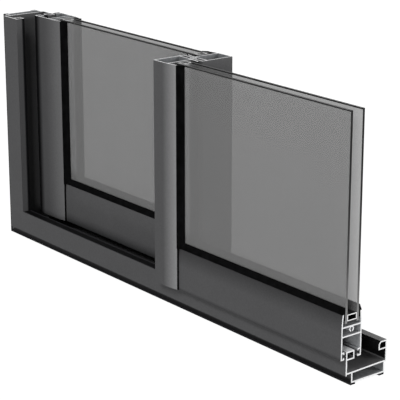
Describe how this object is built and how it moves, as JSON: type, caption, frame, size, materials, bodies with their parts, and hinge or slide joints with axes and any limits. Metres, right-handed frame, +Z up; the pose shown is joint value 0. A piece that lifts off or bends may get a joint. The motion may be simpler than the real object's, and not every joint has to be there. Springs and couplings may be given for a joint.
{
  "type": "sliding window corner sample",
  "caption": "Cut corner sample of a two-track sliding aluminium window: dark coated frame and sashes, hooked meeting stiles, black gaskets and grey double glazing, sawn at the top and one end.",
  "frame": {"origin": "on the ground under the middle of the sample's bounding box", "axes": "+X along the sill from the jamb to the sawn end, +Y from the front to the rear track, +Z up"},
  "size_m": [0.7, 0.0864, 0.312],
  "materials": {
    "coated_aluminium": "satin anthracite powder coat, bare at the sawn ends",
    "cleat_aluminium": "mill finish",
    "spacer_aluminium": "matt mill finish",
    "tinted_glass": "grey tinted float glass",
    "edge_sealant": "dull black",
    "gasket_rubber": "matt black",
    "base_seal_rubber": "matt black",
    "setting_block_plastic": "matt black",
    "pile_brush": "dense black pile",
    "carriage_steel": "zinc plated",
    "roller_plastic": "matt dark grey"
  },
  "bodies": {
    "root": {"corner_cleat": "cleat_aluminium", "front_sash_bottom_rail": "coated_aluminium", "front_sash_front_rail_brush": "pile_brush", "front_sash_glass_edge_sealant": "edge_sealant", "front_sash_glass_spacer": "spacer_aluminium", "front_sash_inner_gasket": "gasket_rubber", "front_sash_inner_pane": "tinted_glass", "front_sash_interlock_brush": "pile_brush", "front_sash_meeting_stile": "coated_aluminium", "front_sash_outer_gasket": "gasket_rubber", "front_sash_outer_pane": "tinted_glass", "front_sash_rear_rail_brush": "pile_brush", "front_sash_roller_carriage": "carriage_steel", "front_sash_roller_wheel": "roller_plastic", "front_sash_setting_block": "setting_block_plastic", "jamb": "coated_aluminium", "jamb_front_base_seal": "base_seal_rubber", "jamb_rear_base_seal": "base_seal_rubber", "rear_sash_bottom_rail": "coated_aluminium", "rear_sash_front_rail_brush": "pile_brush", "rear_sash_front_stile_brush": "pile_brush", "rear_sash_glass_edge_sealant": "edge_sealant", "rear_sash_glass_spacer": "spacer_aluminium", "rear_sash_inner_gasket": "gasket_rubber", "rear_sash_inner_pane": "tinted_glass", "rear_sash_interlock_brush": "pile_brush", "rear_sash_left_roller_carriage": "carriage_steel", "rear_sash_left_roller_wheel": "roller_plastic", "rear_sash_left_setting_block": "setting_block_plastic", "rear_sash_meeting_stile": "coated_aluminium", "rear_sash_outer_gasket": "gasket_rubber", "rear_sash_outer_pane": "tinted_glass", "rear_sash_rear_rail_brush": "pile_brush", "rear_sash_rear_stile_brush": "pile_brush", "rear_sash_right_roller_carriage": "carriage_steel", "rear_sash_right_roller_wheel": "roller_plastic", "rear_sash_right_setting_block": "setting_block_plastic", "rear_sash_side_stile": "coated_aluminium", "sill": "coated_aluminium", "sill_front_base_seal": "base_seal_rubber", "sill_rear_base_seal": "base_seal_rubber"}
  },
  "joints": []
}
